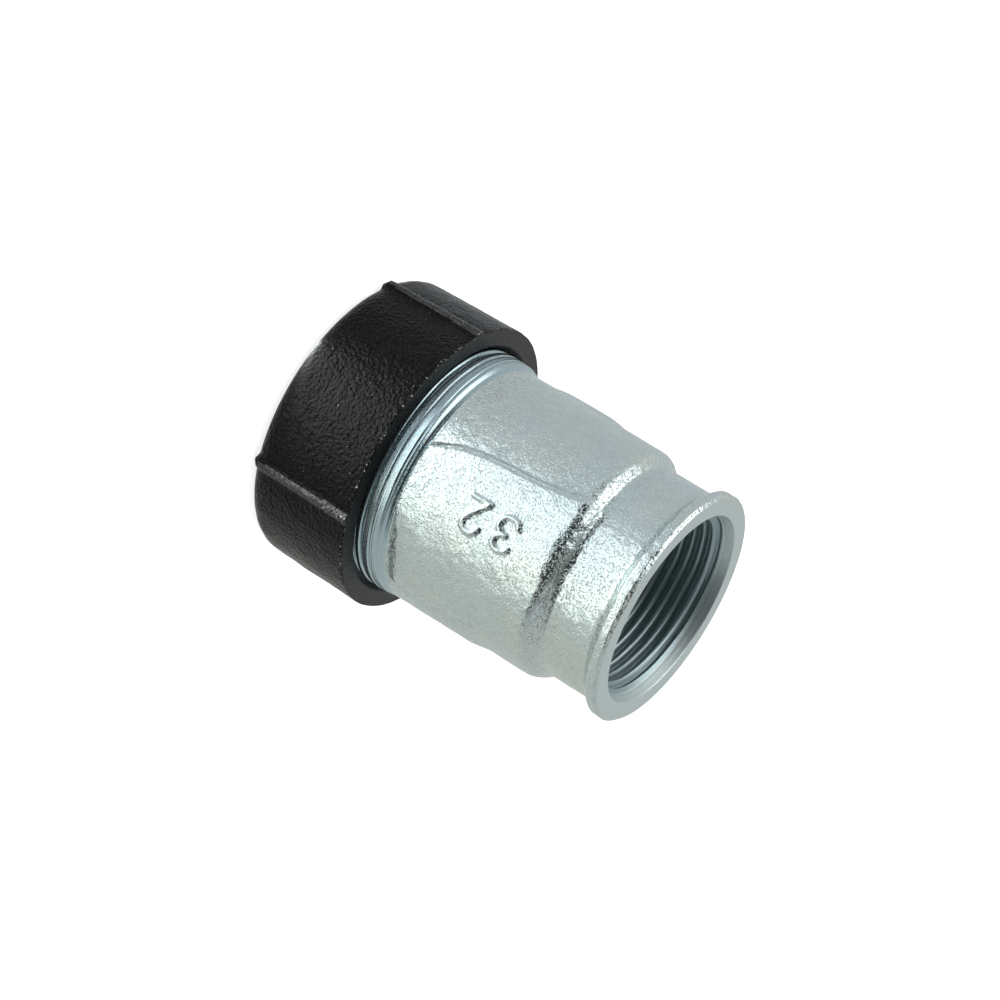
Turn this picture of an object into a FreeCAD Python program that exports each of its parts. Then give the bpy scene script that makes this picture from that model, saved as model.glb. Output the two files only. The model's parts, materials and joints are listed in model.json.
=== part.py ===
"""Compression coupling for steel pipe with a female threaded end.

The coupling stands on the flat rear face of its clamp nut. The origin is the centre of that face,
and +Z runs along the pipe axis to the flanged end with the female thread. All sizes are in millimetres
and degrees. The threads are plain walls here: the male thread at its mean diameter, the female one at
its minor diameter.
"""

import FreeCAD, Part
import math
import os
import Sketcher

# Driving sizes, each with what it is
SIZES = [
    ("overall_length", 85.7, "nut rear face to flange end face"),
    ("pipe_diameter", 42.4, "outside of the steel pipe"),
    ("pipe_play", 0.6, "socket wall to pipe, on the radius"),
    ("female_major_diameter", 41.91, "female thread at its roots"),
    ("female_thread_depth", 1.479, "female thread, root to crest"),
    ("female_thread_length", 21.2, "end face to the last turn"),
    ("mouth_bevel_width", 0.945, "bevel of the threaded end, outside the thread's roots"),
    ("mouth_bevel_depth", 2.2, "depth of that bevel"),
    ("web_ledge", 0.876, "pipe stop's bore inside the thread's crests, on the radius"),
    ("web_thickness", 2.5, "pipe stop, along the axis"),
    ("flange_proud", 1.97, "rim of the threaded end outside the neck"),
    ("flange_thickness", 2.3, "rim, at its edge"),
    ("flange_back_length", 2.1, "slope from the rim down to the neck"),
    ("flange_edge_radius", 0.8, "cast edge at the back of the rim"),
    ("flange_face_edge", 0.7, "broken edge round the end face"),
    ("neck_wall", 3.375, "neck outside the female thread's roots"),
    ("neck_length", 15.9, "end face to the shoulder's corner"),
    ("neck_fillet_radius", 1.8, "rim slope to neck"),
    ("shoulder_drop", 1.7, "fall of the shoulder before its round"),
    ("shoulder_radius", 3.6, "round of the shoulder"),
    ("shoulder_foot_radius", 1.5, "shoulder to neck"),
    ("barrel_top_wall", 4.9, "barrel's wall at the shoulder"),
    ("barrel_foot_wall", 5.05, "barrel's wall at the end of the male thread"),
    ("pad_height", 0.9, "cast pad above the barrel"),
    ("pad_count", 2.0, "pads round the barrel, and mould seams too"),
    ("pad_bend_length", 9.3, "pad's start to the bend in its flanks"),
    ("pad_shoulder_proud", 0.9, "pad's shoulder past the barrel's, along the axis"),
    ("pad_flank_angle", 48.0, "pad's flank to the radius at its foot"),
    ("pad_left_start", 29.0, "pad's -X flank from the -Y side, where the pad starts"),
    ("pad_left_bend", 36.5, "the same at the bend"),
    ("pad_left_top", 43.5, "the same at the shoulder"),
    ("pad_right_start", 47.5, "pad's +X flank from the -Y side, where the pad starts"),
    ("pad_right_bend", 46.5, "the same at the bend"),
    ("pad_right_top", 40.0, "the same at the shoulder"),
    ("seam_height", 0.85, "soft ridge along the mould's seam, above the barrel"),
    ("seam_radius", 14.0, "round of that ridge"),
    ("seam_length", 25.8, "that ridge, along the axis"),
    ("seam_fall_length", 7.5, "slope at its upper end"),
    ("seam_angle", -29.0, "place of the ridge round the axis"),
    ("male_wall", 2.5, "seal seat to the male thread's crests"),
    ("thread_pitch", 2.0, "male thread and nut"),
    ("male_thread_length", 18.7, "body's end face to the end of the turned part"),
    ("thread_runout_length", 4.2, "cone on which the male thread runs out"),
    ("body_foot_gap", 2.5, "nut's cone to the body's end face as assembled"),
    ("male_end_bevel", 1.0, "bevel that starts the male thread"),
    ("thread_gap", 0.2, "male wall to nut wall, on the radius"),
    ("seat_throat_step", 0.6, "narrow end of the seat's cone outside the socket"),
    ("seat_cone_rise", 3.2, "growth of the seat's cone, on the radius"),
    ("seat_mouth_depth", 5.5, "straight part of the seal seat"),
    ("seat_cone_length", 9.0, "seat's cone, along the axis"),
    ("nut_length", 26.0, "nut, end to end"),
    ("nut_wall", 5.2, "nut's side at its front, outside the thread's crests"),
    ("nut_draft", 0.45, "nut's side smaller at the rear, on the radius"),
    ("nut_edge_radius", 4.0, "round of the rear edge"),
    ("nut_hole_play", 1.0, "hole that the pipe passes, on the radius"),
    ("nut_hole_length", 2.8, "straight wall of that hole"),
    ("nut_hole_edge_radius", 0.8, "round of the hole's outer edge"),
    ("nut_cone_lip", 0.7, "ledge between hole and cone, on the radius"),
    ("nut_cone_angle", 20.0, "cone's wall to the axis"),
    ("nut_cone_length", 8.7, "cone, along the axis"),
    ("nut_relief_depth", 0.35, "groove where the nut's thread ends, outside the crests"),
    ("nut_relief_length", 2.0, "that groove, along the axis"),
    ("nut_bevel_width", 1.3, "bevel at the nut's front face, outside the crests"),
    ("nut_front_edge", 0.4, "broken edge round the front face"),
    ("nut_rest_angle", 13.0, "turn of the nut as assembled"),
    ("rib_count", 4.0, "wrench ribs round the nut"),
    ("rib_width", 3.2, "rib, round the nut"),
    ("rib_height", 1.0, "rib above the nut's side"),
    ("rib_lead_in", 0.5, "rib's start above the rear face"),
    ("rib_end_bevel", 1.5, "bevel at the rib's rear end"),
    ("rib_edge_radius", 0.6, "round of the rib's long edges"),
    ("grip_play", 0.4, "grip ring's teeth to pipe, on the radius"),
    ("grip_ring_proud", 0.9, "ring's thick end above the nut's cone"),
    ("grip_ring_rest", 0.8, "ring's thin end above the nut's hole wall"),
    ("grip_rim_length", 1.4, "straight rim at the ring's thick end"),
    ("grip_land_length", 2.6, "plain bore at the ring's thick end"),
    ("grip_split_width", 5.0, "gap that lets the ring close"),
    ("grip_split_angle", 35.0, "place of that gap round the axis"),
    ("tooth_count", 4.0, "rows of teeth in the grip ring"),
    ("tooth_depth", 0.6, "grooves between the teeth"),
    ("tooth_tip", 0.35, "flat tip of a tooth"),
    ("cone_gap", 0.3, "grip ring to the nut's cone, square to it"),
    ("thrust_ring_thickness", 2.0, "washer between grip ring and seal"),
    ("thrust_ring_play", 0.35, "washer to the seat's mouth, on the radius"),
    ("thrust_bore_play", 0.55, "washer to pipe, on the radius"),
    ("thrust_edge_bevel", 0.3, "broken edges of the washer"),
    ("seal_tip_gap", 1.9, "seal's thin end below the seat's throat"),
    ("seal_play", 0.3, "seal to its seat and to the pipe, on the radius"),
    ("loose_gap", 2.2, "washer to seal as assembled, taken up by the first turn"),
    ("seal_edge_radius", 0.4, "round of the seal's outer edges"),
]

# Heights that pieces share, as formulas over the sizes
NUT_CONE_TOP = "(Sizes.nut_hole_length + Sizes.nut_cone_length)"
BODY_FOOT = f"({NUT_CONE_TOP} + Sizes.body_foot_gap)"
BARREL_FOOT = f"({BODY_FOOT} + Sizes.male_thread_length)"
PAD_BEND = f"({BARREL_FOOT} + Sizes.pad_bend_length)"
SEAM_TOP = f"({BARREL_FOOT} + Sizes.seam_length)"
SHOULDER = "(Sizes.overall_length - Sizes.neck_length)"
BARREL_TOP = f"({SHOULDER} - Sizes.shoulder_drop)"
RIM_BACK = "(Sizes.overall_length - Sizes.flange_thickness)"
RIM_FOOT = f"({RIM_BACK} - Sizes.flange_back_length)"
THREAD_END = "(Sizes.overall_length - Sizes.female_thread_length)"
PIPE_STOP = f"({THREAD_END} - Sizes.web_thickness)"
SEAT_CONE_FOOT = f"({BODY_FOOT} + Sizes.seat_mouth_depth)"
SEAT_THROAT = f"({SEAT_CONE_FOOT} + Sizes.seat_cone_length)"
GRIP_FOOT = "(Sizes.nut_hole_length + Sizes.grip_ring_rest)"
GRIP_TOP = f"({NUT_CONE_TOP} + Sizes.grip_ring_proud)"
GRIP_RIM_FOOT = f"({GRIP_TOP} - Sizes.grip_rim_length)"
THRUST_TOP = f"({GRIP_TOP} + Sizes.thrust_ring_thickness)"
SEAL_FOOT = f"({THRUST_TOP} + Sizes.loose_gap)"
SEAL_TOP = f"({SEAT_THROAT} - Sizes.seal_tip_gap)"

# Radii that pieces share, from the pipe and the female thread outwards
PIPE_RADIUS = "(Sizes.pipe_diameter / 2)"
SOCKET_RADIUS = f"({PIPE_RADIUS} + Sizes.pipe_play)"
THROAT_RADIUS = f"({SOCKET_RADIUS} + Sizes.seat_throat_step)"
SEAT_RADIUS = f"({THROAT_RADIUS} + Sizes.seat_cone_rise)"
CREST_RADIUS = f"({SEAT_RADIUS} + Sizes.male_wall)"
MALE_MEAN_RADIUS = f"({CREST_RADIUS} - 0.32475 * Sizes.thread_pitch)"
NUT_WALL_RADIUS = f"({MALE_MEAN_RADIUS} + Sizes.thread_gap)"
NUT_SIDE_RADIUS = f"({CREST_RADIUS} + Sizes.nut_wall)"
NUT_REAR_RADIUS = f"({NUT_SIDE_RADIUS} - Sizes.nut_draft)"
BARREL_TOP_RADIUS = f"({SOCKET_RADIUS} + Sizes.barrel_top_wall)"
BARREL_FOOT_RADIUS = f"({SOCKET_RADIUS} + Sizes.barrel_foot_wall)"
FEMALE_MAJOR_RADIUS = "(Sizes.female_major_diameter / 2)"
FEMALE_MINOR_RADIUS = f"({FEMALE_MAJOR_RADIUS} - Sizes.female_thread_depth)"
NECK_RADIUS = f"({FEMALE_MAJOR_RADIUS} + Sizes.neck_wall)"
FLANGE_RADIUS = f"({NECK_RADIUS} + Sizes.flange_proud)"
NUT_HOLE_RADIUS = f"({PIPE_RADIUS} + Sizes.nut_hole_play)"
NUT_CONE_RADIUS = f"({NUT_HOLE_RADIUS} + Sizes.nut_cone_lip)"
NUT_CONE_SLOPE = "tan(Sizes.nut_cone_angle * 1 deg)"
SEAT_SLOPE = "(Sizes.seat_cone_rise / Sizes.seat_cone_length)"
GRIP_BORE_RADIUS = f"({PIPE_RADIUS} + Sizes.grip_play)"

CLOSE = 0.01


def size_sheet(document):
    """Write the driving sizes, one row each: name, value, meaning."""
    sheet = document.addObject("Spreadsheet::Sheet", "Sizes")
    for row, (name, number, meaning) in enumerate(SIZES, start=1):
        sheet.set(f"A{row}", name)
        sheet.set(f"B{row}", str(number))
        sheet.set(f"C{row}", meaning)
        sheet.setAlias(f"B{row}", name)
    document.recompute()
    return sheet


def value(document, formula):
    """Work out a formula over the sizes."""
    return float(document.Sizes.evalExpression(formula))


def new_body(document, label):
    """Start a sub-part, whose label names its file."""
    body = document.addObject("PartDesign::Body", label)
    body.Label = label
    return body


def origin_plane(body, role):
    """Find one of the body's own origin planes."""
    return next(item for item in body.Origin.OriginFeatures if item.Role == role)


def hold(sketch, axis, line, formula):
    """Bind one coordinate of a line's start to its formula; a zero holds it on the axis."""
    if formula == "0":
        axis_line = -1 if axis == "Y" else -2
        sketch.addConstraint(Sketcher.Constraint("PointOnObject", line, 1, axis_line))
        return
    number = value(sketch.Document, formula)
    kind = f"Distance{axis}"
    index = sketch.addConstraint(Sketcher.Constraint(kind, -1, 1, line, 1, number))
    name = f"{axis.lower()}_{line}"
    sketch.renameConstraint(index, name)
    sketch.setExpression(f"Constraints.{name}", formula)


def new_sketch(body, name, plane, height=None):
    """Start a sketch on one of the body's planes, raised above it if a height is given."""
    sketch = body.newObject("Sketcher::SketchObject", name)
    sketch.AttachmentSupport = [(origin_plane(body, plane), "")]
    sketch.MapMode = "FlatFace"
    if height:
        sketch.setExpression("AttachmentOffset.Base.z", height)
    return sketch


def outline(body, name, corners, plane="XZ_Plane", height=None):
    """Draw a closed outline whose corners are pairs of formulas: radius and height."""
    document = body.Document
    sketch = new_sketch(body, name, plane, height)
    points = [FreeCAD.Vector(value(document, x), value(document, y), 0) for x, y in corners]
    for start, end in zip(points, points[1:] + points[:1]):
        sketch.addGeometry(Part.LineSegment(start, end), False)
    count = len(corners)
    for line in range(count):
        sketch.addConstraint(Sketcher.Constraint("Coincident", line, 2, (line + 1) % count, 1))
    for line, (x, y) in enumerate(corners):
        hold(sketch, "X", line, x)
        hold(sketch, "Y", line, y)
    document.recompute()
    return sketch


def revolve(body, name, sketch, span=None):
    """Turn an outline about the pipe axis, all round or over a span centred on its plane."""
    turned = body.newObject("PartDesign::Revolution", name)
    turned.Profile = sketch
    turned.ReferenceAxis = (sketch, ["V_Axis"])
    turned.Angle = 360
    if span:
        turned.Midplane = True
        turned.setExpression("Angle", span)
    body.Document.recompute()
    return turned


def repeat_round(body, name, feature, count):
    """Repeat a feature evenly round the pipe axis."""
    pattern = body.newObject("PartDesign::PolarPattern", name)
    pattern.Originals = [feature]
    pattern.Axis = (origin_plane(body, "Z_Axis"), [""])
    pattern.Angle = 360
    pattern.setExpression("Occurrences", count)
    body.Tip = pattern
    body.Document.recompute()
    return pattern


def fillet(body, name, radius, wanted):
    """Round every edge of the body's tip that the test wanted accepts."""
    base = body.Tip
    edges = [f"Edge{i}" for i, edge in enumerate(base.Shape.Edges, start=1) if wanted(edge)]
    if not edges:
        raise ValueError(f"{name}: no edge to round")
    rounded = body.newObject("PartDesign::Fillet", name)
    rounded.Base = (base, edges)
    rounded.setExpression("Radius", radius)
    body.Document.recompute()
    return rounded


def extrude(body, name, sketch, length):
    """Raise an outline along the pipe axis."""
    block = body.newObject("PartDesign::Pad", name)
    block.Profile = sketch
    block.setExpression("Length", length)
    body.Document.recompute()
    return block


def combine(body, name, kind, tool):
    """Join another body to this one, or keep only what both share."""
    both = body.newObject("PartDesign::Boolean", name)
    both.Type = kind
    both.addObjects([tool])
    body.Document.recompute()
    return both


def ring_at(document, radius, height):
    """Make a test for circular edges of one radius and height about the pipe axis."""
    r = value(document, radius)
    z = value(document, height)

    def wanted(edge):
        if not isinstance(edge.Curve, Part.Circle):
            return False
        centre = edge.Curve.Center
        on_axis = math.hypot(centre.x, centre.y) < CLOSE
        return on_axis and abs(edge.Curve.Radius - r) < CLOSE and abs(centre.z - z) < CLOSE

    return wanted


def rib_edge(document, front_crest, rear_crest):
    """Make a test for the long edges of the ribs' crests, which lean as much as the nut's side."""
    front = value(document, front_crest)
    rear = value(document, rear_crest)

    def wanted(edge):
        middle = edge.valueAt((edge.FirstParameter + edge.LastParameter) / 2)
        along = edge.BoundBox.ZLength > 0.99 * edge.Length
        between = rear - CLOSE < math.hypot(middle.x, middle.y) < front + CLOSE
        long = edge.Length > 0.5 * value(document, "Sizes.nut_length")
        return along and between and long

    return wanted


def body_outer_corners():
    """Outside of the cast body, from the male end up to the flange."""
    fall = f"({MALE_MEAN_RADIUS} - {BARREL_FOOT_RADIUS}) / ({CREST_RADIUS} - {BARREL_FOOT_RADIUS})"
    edge = "Sizes.flange_face_edge"
    return [
        (f"({MALE_MEAN_RADIUS} - Sizes.male_end_bevel)", BODY_FOOT),
        (MALE_MEAN_RADIUS, f"({BODY_FOOT} + Sizes.male_end_bevel)"),
        (MALE_MEAN_RADIUS, f"({BARREL_FOOT} - Sizes.thread_runout_length * {fall})"),
        (BARREL_FOOT_RADIUS, BARREL_FOOT),
        (BARREL_TOP_RADIUS, BARREL_TOP),
        (NECK_RADIUS, SHOULDER),
        (NECK_RADIUS, RIM_FOOT),
        (FLANGE_RADIUS, RIM_BACK),
        (FLANGE_RADIUS, f"(Sizes.overall_length - {edge})"),
        (f"({FLANGE_RADIUS} - {edge})", "Sizes.overall_length"),
    ]


def body_inner_corners():
    """Inside of the cast body, from the flange down to the seal seat."""
    web_radius = f"({FEMALE_MINOR_RADIUS} - Sizes.web_ledge)"
    bevel_end = "(Sizes.overall_length - Sizes.mouth_bevel_depth)"
    return [
        (f"({FEMALE_MAJOR_RADIUS} + Sizes.mouth_bevel_width)", "Sizes.overall_length"),
        (FEMALE_MAJOR_RADIUS, bevel_end),
        (FEMALE_MINOR_RADIUS, f"({bevel_end} - Sizes.female_thread_depth)"),
        (FEMALE_MINOR_RADIUS, THREAD_END),
        (web_radius, f"({THREAD_END} - Sizes.web_ledge)"),
        (web_radius, PIPE_STOP),
        (SOCKET_RADIUS, PIPE_STOP),
        (SOCKET_RADIUS, SEAT_THROAT),
        (THROAT_RADIUS, SEAT_THROAT),
        (SEAT_RADIUS, SEAT_CONE_FOOT),
        (SEAT_RADIUS, BODY_FOOT),
    ]


def coupling_body(document):
    """The malleable iron casting: female thread, pipe stop, socket, seal seat and male thread."""
    body = new_body(document, "coupling_body")
    wall = outline(body, "body_wall", body_outer_corners() + body_inner_corners())
    revolve(body, "body_casting", wall)
    step = f"({BARREL_TOP_RADIUS} - {NECK_RADIUS})"
    shoulder_radius = f"min(Sizes.shoulder_radius; 1.5 * {step})"
    foot_radius = f"min(Sizes.shoulder_foot_radius; 0.6 * {step})"
    shoulder_ring = ring_at(document, BARREL_TOP_RADIUS, BARREL_TOP)
    foot_ring = ring_at(document, NECK_RADIUS, SHOULDER)
    neck_ring = ring_at(document, NECK_RADIUS, RIM_FOOT)
    rim_ring = ring_at(document, FLANGE_RADIUS, RIM_BACK)
    fillet(body, "shoulder_round", shoulder_radius, shoulder_ring)
    fillet(body, "shoulder_foot", foot_radius, foot_ring)
    fillet(body, "neck_blend", "Sizes.neck_fillet_radius", neck_ring)
    fillet(body, "rim_edge", "Sizes.flange_edge_radius", rim_ring)
    combine(body, "body_with_pads", "Fuse", pads(document))
    combine(body, "body_with_seams", "Fuse", seams(document))
    return body


def pad_flank(angle, out):
    """Distance of a pad's flank from the pad's middle plane, at the distance out from the axis."""
    side = f"{BARREL_TOP_RADIUS} * sin({angle} * 1 deg)"
    rise = f"({out} - {BARREL_TOP_RADIUS} * cos({angle} * 1 deg))"
    return f"({side} + {rise} * tan(({angle} - Sizes.pad_flank_angle) * 1 deg))"


def pad_blocks(document):
    """Blocks with leaning sides that give the pads their flanks, one for each pad."""
    body = new_body(document, "pad_blocks")
    low = f"({BARREL_TOP_RADIUS} * 0.6)"
    high = f"({BARREL_TOP_RADIUS} + 2 * Sizes.pad_height)"
    sections = []
    for place, height in (("start", BARREL_FOOT), ("bend", PAD_BEND), ("top", SHOULDER)):
        left, right = f"Sizes.pad_left_{place}", f"Sizes.pad_right_{place}"
        corners = [
            (f"-{pad_flank(left, low)}", f"-{low}"),
            (pad_flank(right, low), f"-{low}"),
            (pad_flank(right, high), f"-{high}"),
            (f"-{pad_flank(left, high)}", f"-{high}"),
        ]
        sections.append(outline(body, f"block_{place}", corners, "XY_Plane", height))
    block = body.newObject("PartDesign::AdditiveLoft", "block")
    block.Profile = sections[0]
    block.Sections = sections[1:]
    block.Ruled = True
    document.recompute()
    above = extrude(body, "block_above", sections[-1], "Sizes.neck_length")
    pattern = repeat_round(body, "blocks", block, "Sizes.pad_count")
    pattern.Originals = [block, above]
    document.recompute()
    return body


def pads(document):
    """The cast pads that carry the size, proud of the barrel from the thread over the shoulder."""
    body = new_body(document, "pads")
    top = f"({BARREL_TOP_RADIUS} + Sizes.pad_height)"
    pad_top = f"({BARREL_TOP} + Sizes.pad_shoulder_proud / 2)"
    corners = [
        (NECK_RADIUS, BARREL_FOOT),
        (f"({BARREL_FOOT_RADIUS} + Sizes.pad_height)", BARREL_FOOT),
        (top, pad_top),
        (NECK_RADIUS, f"({SHOULDER} + Sizes.pad_shoulder_proud)"),
    ]
    revolve(body, "pad_skin", outline(body, "pad_section", corners))
    step = f"({top} - {NECK_RADIUS})"
    round_radius = f"min(Sizes.shoulder_radius + Sizes.pad_height; 1.15 * {step})"
    fillet(body, "pad_shoulder", round_radius, ring_at(document, top, pad_top))
    combine(body, "pads_cut", "Common", pad_blocks(document))
    return body


def seam_rods(document):
    """Rods along the axis whose backs give the mould seams their soft round, one for each seam."""
    body = new_body(document, "seam_rods")
    sketch = new_sketch(body, "rod_section", "XY_Plane", BARREL_FOOT)
    off = f"({BARREL_TOP_RADIUS} + Sizes.seam_height - Sizes.seam_radius)"
    x = f"({off} * cos(Sizes.seam_angle * 1 deg))"
    y = f"({off} * sin(Sizes.seam_angle * 1 deg))"
    centre = FreeCAD.Vector(value(document, x), value(document, y), 0)
    radius = value(document, "Sizes.seam_radius")
    sketch.addGeometry(Part.Circle(centre, FreeCAD.Vector(0, 0, 1), radius), False)
    bindings = [
        (Sketcher.Constraint("Radius", 0, radius), "Sizes.seam_radius"),
        (Sketcher.Constraint("DistanceX", -1, 1, 0, 3, centre.x), x),
        (Sketcher.Constraint("DistanceY", -1, 1, 0, 3, centre.y), y),
    ]
    for constraint, formula in bindings:
        index = sketch.addConstraint(constraint)
        sketch.setExpression(f"Constraints[{index}]", formula)
    rod = extrude(body, "rod", sketch, "Sizes.seam_length")
    repeat_round(body, "rods", rod, "Sizes.pad_count")
    return body


def seams(document):
    """Soft ridges along the mould's seams, cut off by the turned end and fading up the barrel."""
    body = new_body(document, "seams")
    crest = f"({BARREL_FOOT_RADIUS} + 2 * Sizes.seam_height)"
    corners = [
        (NECK_RADIUS, BARREL_FOOT),
        (crest, BARREL_FOOT),
        (crest, f"({SEAM_TOP} - Sizes.seam_fall_length)"),
        (f"({BARREL_TOP_RADIUS} - Sizes.seam_height / 2)", SEAM_TOP),
        (NECK_RADIUS, SEAM_TOP),
    ]
    revolve(body, "seam_skin", outline(body, "seam_section", corners))
    combine(body, "seams_cut", "Common", seam_rods(document))
    return body


def clamp_nut(document):
    """The cast nut: ribs outside; pipe hole, cone, thread relief and thread wall inside."""
    body = new_body(document, "clamp_nut")
    relief_radius = f"({CREST_RADIUS} + Sizes.nut_relief_depth)"
    relief_top = f"({NUT_CONE_TOP} + Sizes.nut_relief_length)"
    bevel_radius = f"({CREST_RADIUS} + Sizes.nut_bevel_width)"
    corners = [
        (NUT_HOLE_RADIUS, "0"),
        (NUT_REAR_RADIUS, "0"),
        (NUT_SIDE_RADIUS, "(Sizes.nut_length - Sizes.nut_front_edge)"),
        (f"({NUT_SIDE_RADIUS} - Sizes.nut_front_edge)", "Sizes.nut_length"),
        (bevel_radius, "Sizes.nut_length"),
        (NUT_WALL_RADIUS, f"(Sizes.nut_length - {bevel_radius} + {NUT_WALL_RADIUS})"),
        (NUT_WALL_RADIUS, relief_top),
        (relief_radius, relief_top),
        (relief_radius, NUT_CONE_TOP),
        (f"({NUT_CONE_RADIUS} + Sizes.nut_cone_length * {NUT_CONE_SLOPE})", NUT_CONE_TOP),
        (NUT_CONE_RADIUS, "Sizes.nut_hole_length"),
        (NUT_HOLE_RADIUS, "Sizes.nut_hole_length"),
    ]
    revolve(body, "nut_casting", outline(body, "nut_wall", corners))
    fillet(body, "rear_edge", "Sizes.nut_edge_radius", ring_at(document, NUT_REAR_RADIUS, "0"))
    fillet(body, "hole_edge", "Sizes.nut_hole_edge_radius", ring_at(document, NUT_HOLE_RADIUS, "0"))
    add_ribs(body)
    body.setExpression("Placement.Rotation.Yaw", "Sizes.nut_rest_angle")
    return body


def add_ribs(body):
    """The narrow wrench ribs along the nut's side."""
    crest = f"({NUT_SIDE_RADIUS} + Sizes.rib_height)"
    rear_crest = f"({NUT_REAR_RADIUS} + Sizes.rib_height)"
    root = f"({NUT_REAR_RADIUS} - Sizes.rib_height)"
    corners = [
        (f"({NUT_REAR_RADIUS} - Sizes.nut_edge_radius)", "Sizes.rib_lead_in"),
        (f"({rear_crest} - Sizes.rib_end_bevel)", "Sizes.rib_lead_in"),
        (rear_crest, "(Sizes.rib_lead_in + Sizes.rib_end_bevel)"),
        (crest, "(Sizes.nut_length - Sizes.nut_front_edge)"),
        (f"({crest} - Sizes.nut_front_edge)", "Sizes.nut_length"),
        (root, "Sizes.nut_length"),
    ]
    span = f"(Sizes.rib_width / {NUT_SIDE_RADIUS} * 180 / pi)"
    rib = revolve(body, "rib", outline(body, "rib_section", corners), span)
    repeat_round(body, "ribs", rib, "Sizes.rib_count")
    fillet(body, "rib_edges", "Sizes.rib_edge_radius", rib_edge(body.Document, crest, rear_crest))


def grip_tooth_corners(row):
    """One tooth row and the groove above it, counted from the ring's thin end."""
    pitch = f"(({GRIP_TOP} - Sizes.grip_land_length - {GRIP_FOOT}) / Sizes.tooth_count)"
    low = f"({GRIP_FOOT} + {row} * {pitch})"
    return [
        (GRIP_BORE_RADIUS, low),
        (GRIP_BORE_RADIUS, f"({low} + Sizes.tooth_tip)"),
        (f"({GRIP_BORE_RADIUS} + Sizes.tooth_depth)", f"({low} + Sizes.tooth_tip)"),
    ]


def clamping_ring(document):
    """The split steel ring: cone outside, rows of teeth inside."""
    body = new_body(document, "clamping_ring")
    gap = "(Sizes.cone_gap / cos(Sizes.nut_cone_angle * 1 deg))"
    thin = f"({NUT_CONE_RADIUS} + Sizes.grip_ring_rest * {NUT_CONE_SLOPE} - {gap})"
    cone_length = f"({GRIP_RIM_FOOT} - {GRIP_FOOT})"
    thick = f"({thin} + {cone_length} * {NUT_CONE_SLOPE})"
    corners = []
    for row in range(int(document.Sizes.tooth_count)):
        corners += grip_tooth_corners(row)
    corners += [
        (GRIP_BORE_RADIUS, f"({GRIP_TOP} - Sizes.grip_land_length)"),
        (GRIP_BORE_RADIUS, GRIP_TOP),
        (thick, GRIP_TOP),
        (thick, GRIP_RIM_FOOT),
        (thin, GRIP_FOOT),
    ]
    revolve(body, "ring_cone", outline(body, "ring_wall", corners))
    half = "(Sizes.grip_split_width / 2)"
    inside = f"({PIPE_RADIUS} / 2)"
    outside = NUT_SIDE_RADIUS
    slot = [(inside, f"-{half}"), (outside, f"-{half}"), (outside, half), (inside, half)]
    split = body.newObject("PartDesign::Pocket", "split")
    split.Profile = outline(body, "split_section", slot, "XY_Plane")
    split.Reversed = True
    split.setExpression("Length", "Sizes.overall_length")
    document.recompute()
    body.setExpression("Placement.Rotation.Yaw", "Sizes.grip_split_angle")
    return body


def pressure_ring(document):
    """The flat steel washer that pushes the seal."""
    body = new_body(document, "pressure_ring")
    bore = f"({PIPE_RADIUS} + Sizes.thrust_bore_play)"
    rim = f"({SEAT_RADIUS} - Sizes.thrust_ring_play)"
    edge = "Sizes.thrust_edge_bevel"
    corners = [
        (bore, GRIP_TOP),
        (f"({rim} - {edge})", GRIP_TOP),
        (rim, f"({GRIP_TOP} + {edge})"),
        (rim, f"({THRUST_TOP} - {edge})"),
        (f"({rim} - {edge})", THRUST_TOP),
        (bore, THRUST_TOP),
    ]
    revolve(body, "washer", outline(body, "washer_section", corners))
    return body


def sealing_ring(document):
    """The rubber seal: straight where the washer enters the seat, then conical."""
    body = new_body(document, "sealing_ring")
    bore = f"({PIPE_RADIUS} + Sizes.seal_play)"
    rim = f"({SEAT_RADIUS} - Sizes.seal_play)"
    tip = f"({rim} - ({SEAL_TOP} - {SEAT_CONE_FOOT}) * {SEAT_SLOPE})"
    corners = [
        (bore, SEAL_FOOT),
        (rim, SEAL_FOOT),
        (rim, SEAT_CONE_FOOT),
        (tip, SEAL_TOP),
        (bore, SEAL_TOP),
    ]
    revolve(body, "seal", outline(body, "seal_section", corners))
    fillet(body, "seal_edge", "Sizes.seal_edge_radius", ring_at(document, rim, SEAL_FOOT))
    return body


def check(document, bodies):
    """Stop if any object failed, or if a sub-part has no sound solid."""
    document.recompute()
    for item in document.Objects:
        if "Invalid" in item.State or "Error" in item.State:
            raise ValueError(f"{item.Name} failed: {item.State}")
    for body in bodies:
        shape = body.Shape
        if shape.isNull() or not shape.isValid() or len(shape.Solids) != 1:
            raise ValueError(f"{body.Label} is not one sound solid")


def main():
    document = FreeCAD.newDocument("pipe_coupling")
    size_sheet(document)
    makers = [coupling_body, clamp_nut, clamping_ring, pressure_ring, sealing_ring]
    bodies = [make(document) for make in makers]
    check(document, bodies)
    os.makedirs("parts", exist_ok=True)
    for body in bodies:
        body.Shape.exportStep(os.path.join("parts", f"{body.Label}.step"))
        print(body.Label, round(body.Shape.Volume), "mm3")


main()
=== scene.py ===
"""Pipe clamp coupling: threads, cast skin and finishes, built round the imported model."""

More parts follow.
